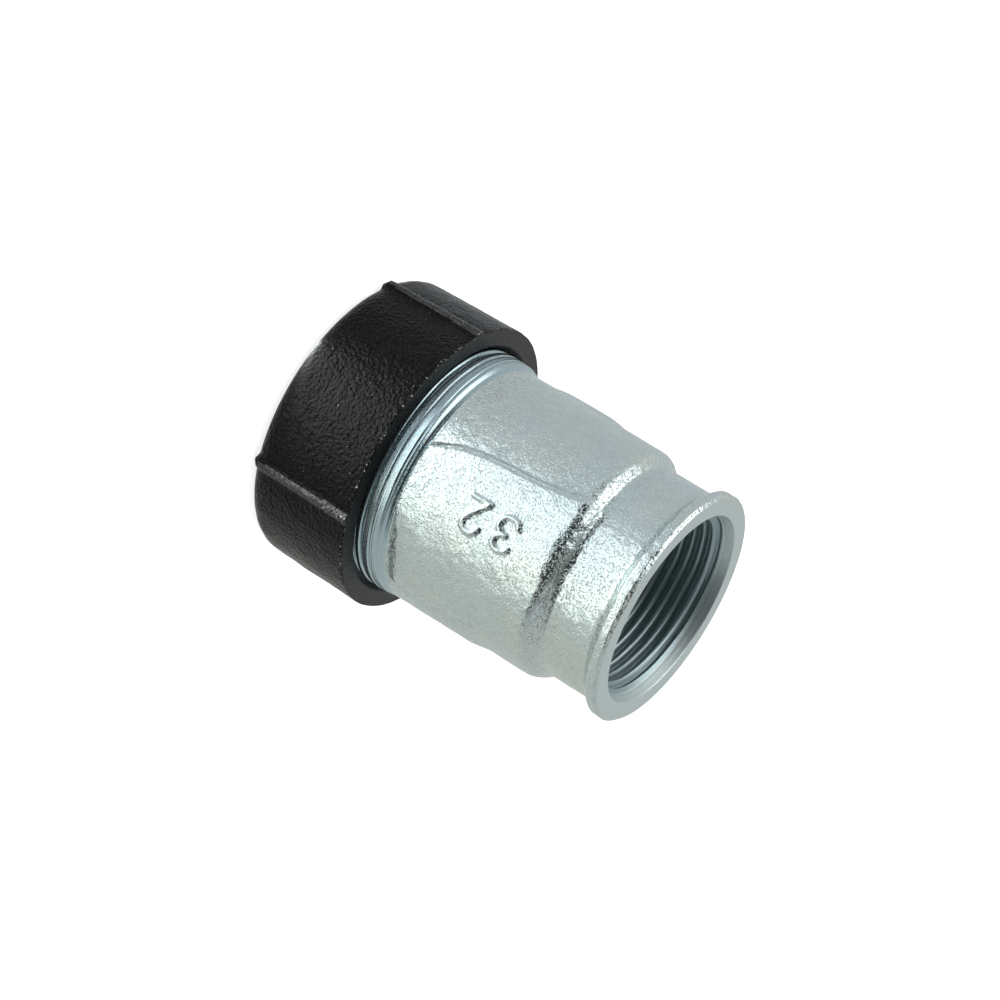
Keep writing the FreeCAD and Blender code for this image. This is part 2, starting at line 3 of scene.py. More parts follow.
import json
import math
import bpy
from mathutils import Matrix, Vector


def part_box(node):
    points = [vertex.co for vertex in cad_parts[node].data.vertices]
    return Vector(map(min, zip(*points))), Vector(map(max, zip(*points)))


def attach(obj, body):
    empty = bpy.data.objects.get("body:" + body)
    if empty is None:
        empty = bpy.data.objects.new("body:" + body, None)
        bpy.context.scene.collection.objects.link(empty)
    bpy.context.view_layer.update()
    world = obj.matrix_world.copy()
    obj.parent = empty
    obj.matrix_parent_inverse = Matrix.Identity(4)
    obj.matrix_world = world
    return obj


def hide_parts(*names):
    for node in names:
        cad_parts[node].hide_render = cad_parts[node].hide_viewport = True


bl_info = {
    "name": "Pipe clamp coupling",
    "version": (1, 0, 0),
    "blender": (4, 5, 0),
    "location": "View3D > Sidebar > Pipe coupling",
    "description": "Compression coupling for steel pipe with its threads, cast skin and finishes",
    "category": "Add Mesh",
}

import bpy
from mathutils import Matrix, Vector, kdtree, noise

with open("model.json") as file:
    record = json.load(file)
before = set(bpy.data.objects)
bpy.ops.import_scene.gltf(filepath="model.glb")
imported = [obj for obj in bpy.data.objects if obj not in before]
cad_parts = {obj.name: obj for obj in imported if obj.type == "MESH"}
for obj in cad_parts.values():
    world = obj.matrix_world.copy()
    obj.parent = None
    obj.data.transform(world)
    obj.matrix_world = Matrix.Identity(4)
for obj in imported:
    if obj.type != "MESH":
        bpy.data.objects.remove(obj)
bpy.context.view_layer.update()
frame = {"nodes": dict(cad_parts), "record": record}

# Radii, heights and widths in the code are millimetres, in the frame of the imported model
MM = 0.001
MOUNTS = {mount["name"]: mount for mount in frame["record"]["mounts"]}
FEMALE_CREST = MOUNTS["socket_thread"]["dims"]["r_mm"]
FEMALE_ROOT = 20.955
PIPE_ENTRY = MOUNTS["pipe_entry"]["dims"]["r_mm"]
BODY_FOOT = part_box("coupling_body")[0].z / MM
END_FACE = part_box("coupling_body")[1].z / MM
NUT_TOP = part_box("clamp_nut")[1].z / MM

# Outside of the body: height where the cast skin starts, and radii of the barrel, neck and flange
CAST_START = 32.45
BARREL_FOOT = 26.88
BARREL = 26.75
NECK = 24.33
FLANGE = 26.3

# Inside of the body: the pipe stop, the pipe socket up to it, the seal's seat and the tapped thread
PIPE_STOP = 18.6
PIPE_SOCKET = 21.8
SOCKET_END = 62.0
SEAT_TOP = 28.5
SEAT_FOOT = 25.6
TAPPED_FROM = 64.5

# Outside of the nut
NUT_SIDE = 33.3
REAR_ROUND = 4.0
RIB_PLACES = [13.0 + 90 * k for k in range(4)]

# The male thread begins at this part of a turn, and its crests fall in steps: (height, length, drop)
THREAD_START = 0.57
RUN_OUT = [(28.5, 2.5, 0.2), (31.0, 0.6, 0.75), (31.6, 0.9, 0.25)]


def hex_colour(text):
    """Turn an sRGB hex colour into the linear numbers that a shader reads."""
    parts = [int(text[i:i + 2], 16) / 255 for i in (1, 3, 5)]
    linear = [p / 12.92 if p <= 0.04045 else ((p + 0.055) / 1.055) ** 2.4 for p in parts]
    return (*linear, 1.0)


def ease(t):
    """Go smoothly from 0 to 1 as t does."""
    t = max(0.0, min(1.0, t))
    return t * t * (3 - 2 * t)


def fade(value, start, end):
    """Go smoothly from 0 at start to 1 at end."""
    return ease((value - start) / (end - start))


def turn_between(angle, centre):
    """Degrees from a centre to an angle, the short way round."""
    return (angle - centre + 180) % 360 - 180


class BodySizes(bpy.types.PropertyGroup):
    """Sizes and colours of the cast body."""

    steps: bpy.props.IntProperty(
        name="Steps round", description="Faces round the axis", default=272, min=64)
    male_pitch: bpy.props.FloatProperty(
        name="Male pitch", description="Pitch of the thread for the nut",
        default=0.002, unit="LENGTH", precision=5)
    male_mean_radius: bpy.props.FloatProperty(
        name="Male mean radius", description="Male thread at half its depth",
        default=0.02745, unit="LENGTH", precision=5)
    male_depth: bpy.props.FloatProperty(
        name="Male depth", description="Male thread, root to crest",
        default=0.0012, unit="LENGTH", precision=5)
    male_crest_radius: bpy.props.FloatProperty(
        name="Male crest radius", description="Crests of the male thread",
        default=0.0281, unit="LENGTH", precision=5)
    female_pitch: bpy.props.FloatProperty(
        name="Female pitch", description="1 1/4 inch pipe thread, 11 turns an inch",
        default=0.002309, unit="LENGTH", precision=6)
    female_depth: bpy.props.FloatProperty(
        name="Female depth", description="Pipe thread, crest to root",
        default=0.001479, unit="LENGTH", precision=6)
    pad_height: bpy.props.FloatProperty(
        name="Pad height", description="Cast pad above the barrel",
        default=0.0009, unit="LENGTH", precision=5)
    cast_wave: bpy.props.FloatProperty(
        name="Cast wave", description="Unevenness of the cast surface",
        default=0.00009, unit="LENGTH", precision=6)
    number: bpy.props.StringProperty(
        name="Number", description="Plain cast number on the pad, of digits 2 and 3", default="32")
    number_height: bpy.props.FloatProperty(
        name="Number height", description="Height of the digits",
        default=0.0072, unit="LENGTH", precision=5)
    number_proud: bpy.props.FloatProperty(
        name="Number proud", description="Digits above the pad",
        default=0.0006, unit="LENGTH", precision=5)
    zinc: bpy.props.FloatVectorProperty(
        name="Zinc", description="Colour of the zinc coat", size=4, subtype="COLOR",
        default=hex_colour("#CCD8D8"))
    zinc_warm: bpy.props.FloatVectorProperty(
        name="Warm zinc", description="Where the passivated film is thicker",
        size=4, subtype="COLOR", default=hex_colour("#D0D7D1"))
    zinc_cut: bpy.props.FloatVectorProperty(
        name="Cut zinc", description="Thicker bluish film on the cut threads",
        size=4, subtype="COLOR", default=hex_colour("#B2C5CA"))
    zinc_bore: bpy.props.FloatVectorProperty(
        name="Tapped zinc", description="Dull film inside the tapped thread",
        size=4, subtype="COLOR", default=hex_colour("#9DAEB2"))


class NutSizes(bpy.types.PropertyGroup):
    """Sizes and colours of the clamp nut."""

    steps: bpy.props.IntProperty(
        name="Steps round", description="Faces round the axis", default=320, min=64)
    rib_height: bpy.props.FloatProperty(
        name="Rib height", description="Wrench rib above the side",
        default=0.001, unit="LENGTH", precision=5)
    rib_width: bpy.props.FloatProperty(
        name="Rib width", description="Wrench rib at half its height",
        default=0.00195, unit="LENGTH", precision=5)
    rib_lead_in: bpy.props.FloatProperty(
        name="Rib lead-in", description="Rib's start above the rear face",
        default=0.0005, unit="LENGTH", precision=5)
    rib_bevel: bpy.props.FloatProperty(
        name="Rib bevel", description="Bevel at the rib's rear end",
        default=0.0015, unit="LENGTH", precision=5)
    cast_wave: bpy.props.FloatProperty(
        name="Cast wave", description="Unevenness of the cast surface",
        default=0.00012, unit="LENGTH", precision=6)
    paint: bpy.props.FloatVectorProperty(
        name="Paint", description="Colour of the black coating", size=4, subtype="COLOR",
        default=hex_colour("#0A0A09"))
    bare_iron: bpy.props.FloatVectorProperty(
        name="Bare iron", description="Iron where the coating has worn off",
        size=4, subtype="COLOR", default=hex_colour("#A09C96"))


class RingSizes(bpy.types.PropertyGroup):
    """Colours of the rings inside the nut."""

    steel: bpy.props.FloatVectorProperty(
        name="Grip steel", description="Yellow passivated steel of the grip ring",
        size=4, subtype="COLOR", default=hex_colour("#C9BE97"))
    washer: bpy.props.FloatVectorProperty(
        name="Washer steel", description="Zinc plated steel of the washer",
        size=4, subtype="COLOR", default=hex_colour("#C9CED1"))
    rubber: bpy.props.FloatVectorProperty(
        name="Rubber", description="Colour of the seal", size=4, subtype="COLOR",
        default=hex_colour("#1B1B1C"))


def add_node(tree, kind, inputs=None, **settings):
    """Add a node with its settings; inputs gives each socket a value or another node's output."""
    node = tree.nodes.new(kind)
    for name, setting in settings.items():
        setattr(node, name, setting)
    for socket, given in (inputs or {}).items():
        if isinstance(given, bpy.types.NodeSocket):
            tree.links.new(given, node.inputs[socket])
        else:
            node.inputs[socket].default_value = given
    return node


def new_material(name):
    """Start a material with nothing in it but its output and Object coordinates."""
    material = bpy.data.materials.new(name)
    material.use_nodes = True
    tree = material.node_tree
    tree.nodes.clear()
    place = add_node(tree, "ShaderNodeTexCoord").outputs["Object"]
    return material, tree, place


def finish_material(tree, shader):
    """Lead a shader to the material's output."""
    add_node(tree, "ShaderNodeOutputMaterial", {"Surface": shader.outputs[0]})


def swells(width):
    """Scale of a noise whose swells are this wide in mm, to the nearest ten a metre."""
    return float(round(1000 / width, -1))


def distance_from_axis(tree, place):
    """Distance of a place from the pipe axis."""
    flat = add_node(tree, "ShaderNodeVectorMath", {0: place, 1: (1.0, 1.0, 0.0)}, operation="MULTIPLY")
    return add_node(tree, "ShaderNodeVectorMath", {0: flat.outputs[0]}, operation="LENGTH").outputs["Value"]


def tool_rings(tree, place):
    """Rings that a lathe's tool leaves, on faces along the axis and across it alike."""
    height = add_node(tree, "ShaderNodeSeparateXYZ", {0: place})
    path = add_node(tree, "ShaderNodeMath", {
        0: distance_from_axis(tree, place), 1: height.outputs["Z"]}, operation="ADD")
    # Tool marks 0.15 mm apart are drawn 0.3 mm apart, as fine as the picture can show
    rings = add_node(tree, "ShaderNodeTexNoise", {
        "W": path.outputs[0], "Scale": swells(0.303), "Detail": 1.0}, noise_dimensions="1D")
    return rings.outputs["Fac"]


def zinc_tint(tree, place, settings):
    """Colour of the passivated zinc, bluish with warmer clouds about 15 mm across."""
    clouds = add_node(tree, "ShaderNodeTexNoise", {"Vector": place, "Scale": swells(14.3), "Detail": 2.0})
    share = add_node(tree, "ShaderNodeMapRange", {
        "Value": clouds.outputs["Fac"], "From Min": 0.42, "From Max": 0.7, "To Min": 0.0, "To Max": 0.8})
    tint = add_node(tree, "ShaderNodeMix", {
        0: share.outputs["Result"], 6: settings.zinc, 7: settings.zinc_warm}, data_type="RGBA")
    return tint.outputs[2]


def zinc_cast_skin(settings):
    """Zinc plated malleable iron, as cast in sand: bright, bluish, and pebbled all over."""
    material, tree, place = new_material("zinc_cast_skin")
    # Sand grains leave bumps of 0.6 mm and pits 0.4 mm apart, which make dark specks in a bright gloss
    coarse = add_node(tree, "ShaderNodeTexNoise", {"Vector": place, "Scale": swells(0.588), "Detail": 1.0})
    fine = add_node(tree, "ShaderNodeTexNoise", {"Vector": place, "Scale": swells(0.37), "Detail": 2.0})
    pits = add_node(tree, "ShaderNodeMapRange", {
        "Value": fine.outputs["Fac"], "From Min": 0.54, "From Max": 0.72, "To Min": 1.0, "To Max": 0.0})
    swell = add_node(tree, "ShaderNodeTexNoise", {"Vector": place, "Scale": swells(2.38), "Detail": 1.0})
    sand = add_node(tree, "ShaderNodeBump", {
        "Height": coarse.outputs["Fac"], "Strength": 0.5, "Distance": 0.0002})
    wave = add_node(tree, "ShaderNodeBump", {
        "Height": swell.outputs["Fac"], "Strength": 0.45, "Distance": 0.0006,
        "Normal": sand.outputs["Normal"]})
    grain = add_node(tree, "ShaderNodeBump", {
        "Height": pits.outputs["Result"], "Strength": 0.7, "Distance": 0.00014,
        "Normal": wave.outputs["Normal"]})
    rough = add_node(tree, "ShaderNodeMapRange", {
        "Value": swell.outputs["Fac"], "From Min": 0.3, "From Max": 0.7, "To Min": 0.15, "To Max": 0.26})
    shader = add_node(tree, "ShaderNodeBsdfPrincipled", {
        "Base Color": zinc_tint(tree, place, settings), "Metallic": 1.0,
        "Roughness": rough.outputs["Result"], "Normal": grain.outputs["Normal"]})
    finish_material(tree, shader)
    return material


def zinc_machined(name, tint, roughness, marks_depth):
    """Zinc plated iron turned on a lathe: smooth and satin, with fine rings from the tool."""
    material, tree, place = new_material(name)
    marks = add_node(tree, "ShaderNodeBump", {
        "Height": tool_rings(tree, place), "Strength": 0.5, "Distance": marks_depth})
    specks = add_node(tree, "ShaderNodeTexNoise", {"Vector": place, "Scale": swells(0.4), "Detail": 2.0})
    grain = add_node(tree, "ShaderNodeBump", {
        "Height": specks.outputs["Fac"], "Strength": 0.25, "Distance": 0.0001,
        "Normal": marks.outputs["Normal"]})
    rough = add_node(tree, "ShaderNodeMapRange", {
        "Value": specks.outputs["Fac"], "From Min": 0.3, "From Max": 0.7,
        "To Min": roughness - 0.06, "To Max": roughness + 0.06})
    shader = add_node(tree, "ShaderNodeBsdfPrincipled", {
        "Base Color": tint, "Metallic": 1.0,
        "Roughness": rough.outputs["Result"], "Normal": grain.outputs["Normal"]})
    finish_material(tree, shader)
    return material


def black_painted_iron(name, gloss, settings):
    """Malleable iron with a thin satin black coating that follows the pebbled cast skin."""
    material, tree, place = new_material(name)
    # Pebbles of 0.8 mm from the sand mould, with a finer grain between them
    coarse = add_node(tree, "ShaderNodeTexNoise", {"Vector": place, "Scale": swells(0.8), "Detail": 1.0})
    fine = add_node(tree, "ShaderNodeTexNoise", {"Vector": place, "Scale": swells(0.385), "Detail": 2.0})
    pebbles = add_node(tree, "ShaderNodeBump", {
        "Height": coarse.outputs["Fac"], "Strength": 0.9, "Distance": 0.00052})
    grain = add_node(tree, "ShaderNodeBump", {
        "Height": fine.outputs["Fac"], "Strength": 0.7, "Distance": 0.0002,
        "Normal": pebbles.outputs["Normal"]})
    rough = add_node(tree, "ShaderNodeMapRange", {
        "Value": fine.outputs["Fac"], "From Min": 0.3, "From Max": 0.7, "To Min": 0.16, "To Max": 0.28})
    # The coating is rubbed off in specks where the nut is handled: its front edge and the ribs' crests
    radius = distance_from_axis(tree, place)
    height = add_node(tree, "ShaderNodeSeparateXYZ", {0: place})
    crest = add_node(tree, "ShaderNodeMapRange", {"Value": radius, "From Min": 0.0337, "From Max": 0.0344})
    front = add_node(tree, "ShaderNodeMapRange", {
        "Value": height.outputs["Z"], "From Min": 0.0250, "From Max": 0.0258})
    outer = add_node(tree, "ShaderNodeMapRange", {"Value": radius, "From Min": 0.0316, "From Max": 0.0328})
    edge = add_node(tree, "ShaderNodeMath", {
        0: front.outputs["Result"], 1: outer.outputs["Result"]}, operation="MULTIPLY")
    handled = add_node(tree, "ShaderNodeMath", {
        0: crest.outputs["Result"], 1: edge.outputs[0]}, operation="MAXIMUM")
    chips = add_node(tree, "ShaderNodeTexNoise", {"Vector": place, "Scale": swells(0.526), "Detail": 2.0})
    chance = add_node(tree, "ShaderNodeMath", {
        0: handled.outputs[0], 1: 0.15, 2: chips.outputs["Fac"]}, operation="MULTIPLY_ADD")
    bare = add_node(tree, "ShaderNodeMapRange", {
        "Value": chance.outputs[0], "From Min": 0.75, "From Max": 0.78})
    colour = add_node(tree, "ShaderNodeMix", {
        0: bare.outputs["Result"], 6: settings.paint, 7: settings.bare_iron}, data_type="RGBA")
    shader = add_node(tree, "ShaderNodeBsdfPrincipled", {
        "Base Color": colour.outputs[2], "Metallic": bare.outputs["Result"], "Specular IOR Level": gloss,
        "Roughness": rough.outputs["Result"], "Normal": grain.outputs["Normal"]})
    finish_material(tree, shader)
    return material


def machined_front(settings):
    """Front ring and thread of the nut: turned iron, blackened and oily, with fine tool rings."""
    material, tree, place = new_material("blackened_turned_iron")
    # Tool marks 0.15 mm apart are drawn 0.4 mm apart, so that they show on the narrow ring
    rings = add_node(tree, "ShaderNodeTexNoise", {
        "W": distance_from_axis(tree, place), "Scale": swells(0.385), "Detail": 1.0}, noise_dimensions="1D")
    specks = add_node(tree, "ShaderNodeTexNoise", {"Vector": place, "Scale": swells(0.455), "Detail": 2.0})
    marks = add_node(tree, "ShaderNodeBump", {
        "Height": rings.outputs["Fac"], "Strength": 0.3, "Distance": 0.00008})
    grain = add_node(tree, "ShaderNodeBump", {
        "Height": specks.outputs["Fac"], "Strength": 0.8, "Distance": 0.0004,
        "Normal": marks.outputs["Normal"]})
    shader = add_node(tree, "ShaderNodeBsdfPrincipled", {
        "Base Color": settings.paint, "Specular IOR Level": 0.3, "Roughness": 0.3,
        "Normal": grain.outputs["Normal"]})
    finish_material(tree, shader)
    return material


def ring_steel(name, colour, roughness):
    """Turned steel with a thin plated film, marked by fine rings from the tool."""
    material, tree, place = new_material(name)
    # The plated film has clouds about 6 mm across
    clouds = add_node(tree, "ShaderNodeTexNoise", {"Vector": place, "Scale": swells(6.25), "Detail": 2.0})
    film = add_node(tree, "ShaderNodeMapRange", {
        "Value": clouds.outputs["Fac"], "From Min": 0.35, "From Max": 0.7, "To Min": 0.0, "To Max": 0.35})
    tint = add_node(tree, "ShaderNodeMix", {
        0: film.outputs["Result"], 6: colour, 7: hex_colour("#9FA3A6")}, data_type="RGBA")
    marks = add_node(tree, "ShaderNodeBump", {
        "Height": tool_rings(tree, place), "Strength": 0.35, "Distance": 0.00008})
    shader = add_node(tree, "ShaderNodeBsdfPrincipled", {
        "Base Color": tint.outputs[2], "Metallic": 1.0, "Roughness": roughness,
        "Normal": marks.outputs["Normal"]})
    finish_material(tree, shader)
    return material


def seal_rubber(settings):
    """Moulded black nitrile rubber: matt, with a faint bloom and fine mould texture."""
    material, tree, place = new_material("moulded_nitrile_rubber")
    bloom = add_node(tree, "ShaderNodeTexNoise", {"Vector": place, "Scale": swells(3.33), "Detail": 3.0})
    skin = add_node(tree, "ShaderNodeTexNoise", {"Vector": place, "Scale": swells(0.417), "Detail": 1.0})
    share = add_node(tree, "ShaderNodeMapRange", {
        "Value": bloom.outputs["Fac"], "From Min": 0.45, "From Max": 0.75, "To Min": 0.0, "To Max": 0.25})
    colour = add_node(tree, "ShaderNodeMix", {
        0: share.outputs["Result"], 6: settings.rubber, 7: hex_colour("#3A3A3C")}, data_type="RGBA")
    texture = add_node(tree, "ShaderNodeBump", {
        "Height": skin.outputs["Fac"], "Strength": 0.3, "Distance": 0.0001})
    shader = add_node(tree, "ShaderNodeBsdfPrincipled", {
        "Base Color": colour.outputs[2], "Roughness": 0.62, "Normal": texture.outputs["Normal"]})
    finish_material(tree, shader)
    return material


def section_points(corners):
    """Points of a closed section, in mm, from corners (radius, height, round, step).

    A round puts an arc at its corner. The step is the distance between points on the run that
    starts at the corner.
    """
    runs = []
    count = len(corners)
    for i, (radius, height, rounding, step) in enumerate(corners):
        corner = Vector((radius, height))
        before = (Vector(corners[i - 1][:2]) - corner).normalized()
        after = (Vector(corners[(i + 1) % count][:2]) - corner).normalized()
        if not rounding:
            runs.append([corner])
            continue
        half = before.angle(after) / 2
        centre = corner + (before + after).normalized() * rounding / math.sin(half)
        start = corner + before * rounding / math.tan(half)
        sweep = math.pi - 2 * half
        pieces = max(2, round(sweep * (6 + 2 * rounding) / math.pi) + 1)
        first = start - centre
        side = 1 if before.x * after.y - before.y * after.x < 0 else -1
        arc = []
        for k in range(pieces + 1):
            turn = side * sweep * k / pieces
            arc.append(centre + Matrix.Rotation(turn, 2) @ first)
        runs.append(arc)
    points = []
    for i, run in enumerate(runs):
        points += run
        start, end = run[-1], runs[(i + 1) % count][0]
        cuts = max(1, round((end - start).length / corners[i][3]))
        points += [start.lerp(end, k / cuts) for k in range(1, cuts)]
    return points


def fine_angles(steps, windows):
    """Angles of the steps round the axis, closer together in windows (centre, half width, share)."""
    parts = 3600
    dense = []
    for i in range(parts):
        angle = 360 * i / parts
        more = sum(share * (1 - fade(abs(turn_between(angle, centre)), half * 0.8, half * 1.2))
                   for centre, half, share in windows)
        dense.append(1 + more)
    total = sum(dense)
    angles = []
    passed = 0.0
    for i, weight in enumerate(dense):
        while len(angles) < steps and len(angles) * total / steps <= passed + weight:
            part = (len(angles) * total / steps - passed) / weight
            angles.append(math.radians(360 * (i + part) / parts))
        passed += weight
    return angles


def spin_section(name, points, steps):
    """Draw a section and spin it round the pipe axis into a closed piece."""
    bpy.ops.object.select_all(action="DESELECT")
    bpy.ops.mesh.primitive_circle_add(vertices=len(points), radius=1.0)
    piece = bpy.context.object
    piece.name = name
    for vertex, point in zip(piece.data.vertices, points):
        vertex.co = (point.x * MM, 0.0, point.y * MM)
    bpy.ops.object.mode_set(mode="EDIT")
    bpy.ops.mesh.select_all(action="SELECT")
    bpy.ops.mesh.spin(steps=steps, angle=2 * math.pi, center=(0, 0, 0), axis=(0, 0, 1))
    bpy.ops.mesh.select_all(action="SELECT")
    bpy.ops.mesh.remove_doubles(threshold=2e-6)
    bpy.ops.mesh.normals_make_consistent(inside=False)
    bpy.ops.mesh.select_all(action="DESELECT")
    bpy.ops.object.mode_set(mode="OBJECT")
    return piece


def reshape(piece, points, angles, surface):
    """Move each point of a spun piece to where the surface puts it.

    surface(radius, height, degrees, out) takes and gives millimetres; out is the section's
    outward direction at that point.
    """
    count = len(points)
    tree = kdtree.KDTree(count)
    outs = []
    area = sum(points[i - 1].x * points[i].y - points[i].x * points[i - 1].y for i in range(count))
    for i, point in enumerate(points):
        tree.insert((point.x, point.y, 0), i)
        run = points[(i + 1) % count] - points[i - 1]
        out = Vector((run.y, -run.x)).normalized()
        outs.append(out if area > 0 else -out)
    tree.balance()
    steps = len(angles)
    for vertex in piece.data.vertices:
        x, y, z = vertex.co
        nearest = tree.find((math.hypot(x, y) / MM, z / MM, 0))[1]
        step = round(math.atan2(y, x) / (2 * math.pi) * steps) % steps
        angle = angles[step]
        point = points[nearest]
        radius, height = surface(point.x, point.y, math.degrees(angle), outs[nearest])
        vertex.co = (radius * math.cos(angle) * MM, radius * math.sin(angle) * MM, height * MM)


def thread_wave(height, degrees, pitch, start=0.0):
    """Right-hand thread at a point: 1 on the crest, -1 in the root, with both cut flat."""
    turn = (height / pitch - degrees / 360 - start) % 1.0
    return max(-1.0, min(1.0, 1.25 * (1 - 4 * abs(turn - 0.5))))


def male_radius(height, degrees, crest, depth, pitch):
    """Male thread in mm: full depth inside the nut, then shallower up to where it runs out.

    As on any 60 degree thread, its flanks rise 1.73 mm a millimetre.
    """
    envelope = crest - sum(
        drop * max(0.0, min(1.0, (height - start) / run)) for start, run, drop in RUN_OUT)
    depth = max(0.3, depth * (1 - fade(height, 24.0, 31.0))) * (1 - fade(height, 31.8, 32.4))
    turn = (height / pitch - degrees / 360 - THREAD_START) % 1.0
    away = min(turn, 1 - turn) * pitch
    return envelope - max(0.0, min(depth, depth + 0.06 - 1.73 * away))


def along(table, height):
    """Read a table of (height, value) between its rows."""
    for (low, first), (high, second) in zip(table, table[1:]):
        if height < high:
            return first + (second - first) * max(0.0, (height - low) / (high - low))
    return table[-1][1]


# Flanks of the pad that the photo shows, as (height, angle); the other pad is half a turn on
LEFT_FLANK = [
    (32.5, -119.0), (34, -120.5), (36, -122.5), (38, -124.3), (40, -125.7), (42, -126.8), (45, -127.8),
    (50, -128.6), (54, -129.1), (58, -130.0), (62, -131.5), (66, -133.5), (70, -134.5)]
RIGHT_FLANK = [
    (32.5, -41.0), (41, -42.8), (48, -43.6), (55, -46.3), (60, -48.3), (65, -50.0), (70, -51.0)]

# The pads run over the shoulder: (height, share of the pad's height by which they still stand out)
PAD_END = [
    (66.0, 1.0), (67.0, 1.03), (68.0, 1.17), (68.5, 1.25), (69.0, 1.36), (69.5, 1.43), (69.75, 1.3),
    (70.0, 1.04), (70.25, 0.7), (70.5, 0.34), (70.8, 0.08), (71.1, 0.0)]

# Seams of the mould: (angle, height where the ridge starts, height from which it is full)
SEAMS = [(-29.0, 32.0, 33.0), (151.0, 35.0, 43.0)]
SEAM_HEIGHT = 0.85
SEAM_ROUND = 14.0


def pad_share(height, degrees):
    """How much of the pad's height a place has: 1 on a pad, 0 beside it, between them on its flanks."""
    best = 0.0
    for turn in (0.0, 180.0):
        left = turn_between(degrees, along(LEFT_FLANK, height) + turn)
        right = turn_between(along(RIGHT_FLANK, height) + turn, degrees)
        # The left flank is steep, with a narrow ledge half way up, and the right one is wide and smooth
        steps = 0.66 * ease(left / 1.4) + 0.34 * ease((left - 2.2) / 1.2)
        if abs(left - right) < 170:
            best = max(best, min(steps, ease(right / 5.5)))
    return best


def seam_rise(height, degrees):
    """Height in mm of the soft ridge that the mould's seam leaves on both sides of the barrel."""
    rise = 0.0
    for place, start, full in SEAMS:
        off = math.radians(turn_between(degrees, place))
        if abs(off) < 0.5:
            crest = SEAM_HEIGHT * fade(height, start, full) * (1 - fade(height, 51.5, 58.5))
            centre = BARREL + crest - SEAM_ROUND
            ridge = centre * math.cos(off) + math.sqrt(SEAM_ROUND ** 2 - (centre * math.sin(off)) ** 2)
            above = ridge - BARREL
            # The ridge's feet run softly into the barrel
            rise = max(rise, 0.5 * (above + math.hypot(above, 0.12)) - 0.03)
    return rise


def cast_bumps(radius, height, degrees, size):
    """Unevenness of a cast surface, from -1 to 1, with swells about as wide as size."""
    angle = math.radians(degrees)
    place = Vector((radius * math.cos(angle), radius * math.sin(angle), height)) / size
    return noise.noise(place) + 0.45 * noise.noise(place * 2.7 + Vector((9, 4, 2)))


# Strokes of the digits as points (reading, rising), drawn 7 mm high and 4.6 mm wide
DIGIT_HEIGHT = 7.0
DIGIT_WIDTH = 4.6
DIGIT_ADVANCE = 7.4
DIGITS = {
    "3": [
        [(0.45, 5.9), (0.95, 6.6), (1.8, 7.0), (2.7, 7.0), (3.6, 6.6), (4.05, 5.9), (4.05, 5.0),
         (3.6, 4.3), (2.8, 3.8), (2.0, 3.75)],
        [(2.8, 3.8), (3.8, 3.3), (4.35, 2.5), (4.35, 1.5), (3.8, 0.6), (2.8, 0.1), (1.8, 0.1),
         (0.8, 0.5), (0.3, 1.3)],
    ],
    "2": [
        [(0.4, 5.5), (0.8, 6.4), (1.7, 7.0), (2.8, 7.0), (3.8, 6.5), (4.2, 5.6), (4.1, 4.7),
         (3.4, 3.6), (0.3, 0.1), (4.5, 0.1)],
    ],
}

# Place of the number on the pad: angle of its foot, height of its middle, and the pad's radius there
NUMBER_FOOT = -109.4
NUMBER_MIDDLE = 53.0
NUMBER_RADIUS = 27.7


def number_strokes(text, height):
    """Strokes of a number as lists of (reading, rising) points in mm, centred on its length."""
    scale = height / DIGIT_HEIGHT
    shift = (DIGIT_ADVANCE * (len(text) - 1) + DIGIT_WIDTH) / 2
    strokes = []
    for place, digit in enumerate(text):
        for stroke in DIGITS[digit]:
            strokes.append([((x + DIGIT_ADVANCE * place - shift) * scale, y * scale) for x, y in stroke])
    return strokes


def distance_to_strokes(reading, rising, strokes):
    """Distance in mm from a point to the nearest stroke."""
    point = Vector((reading, rising))
    best = 99.0
    for stroke in strokes:
        for start, end in zip(stroke, stroke[1:]):
            a, b = Vector(start), Vector(end)
            part = (point - a).dot(b - a) / (b - a).length_squared
            best = min(best, (point - a.lerp(b, max(0.0, min(1.0, part)))).length)
    return best


def dress(piece, finishes, finish_at):
    """Give a piece its finishes and each face the one that finish_at(radius, height) names."""
    for finish in finishes:
        piece.data.materials.append(finish)
    for face in piece.data.polygons:
        middle = face.center / MM
        face.material_index = finish_at(math.hypot(middle.x, middle.y), middle.z)
    bpy.ops.object.shade_smooth()


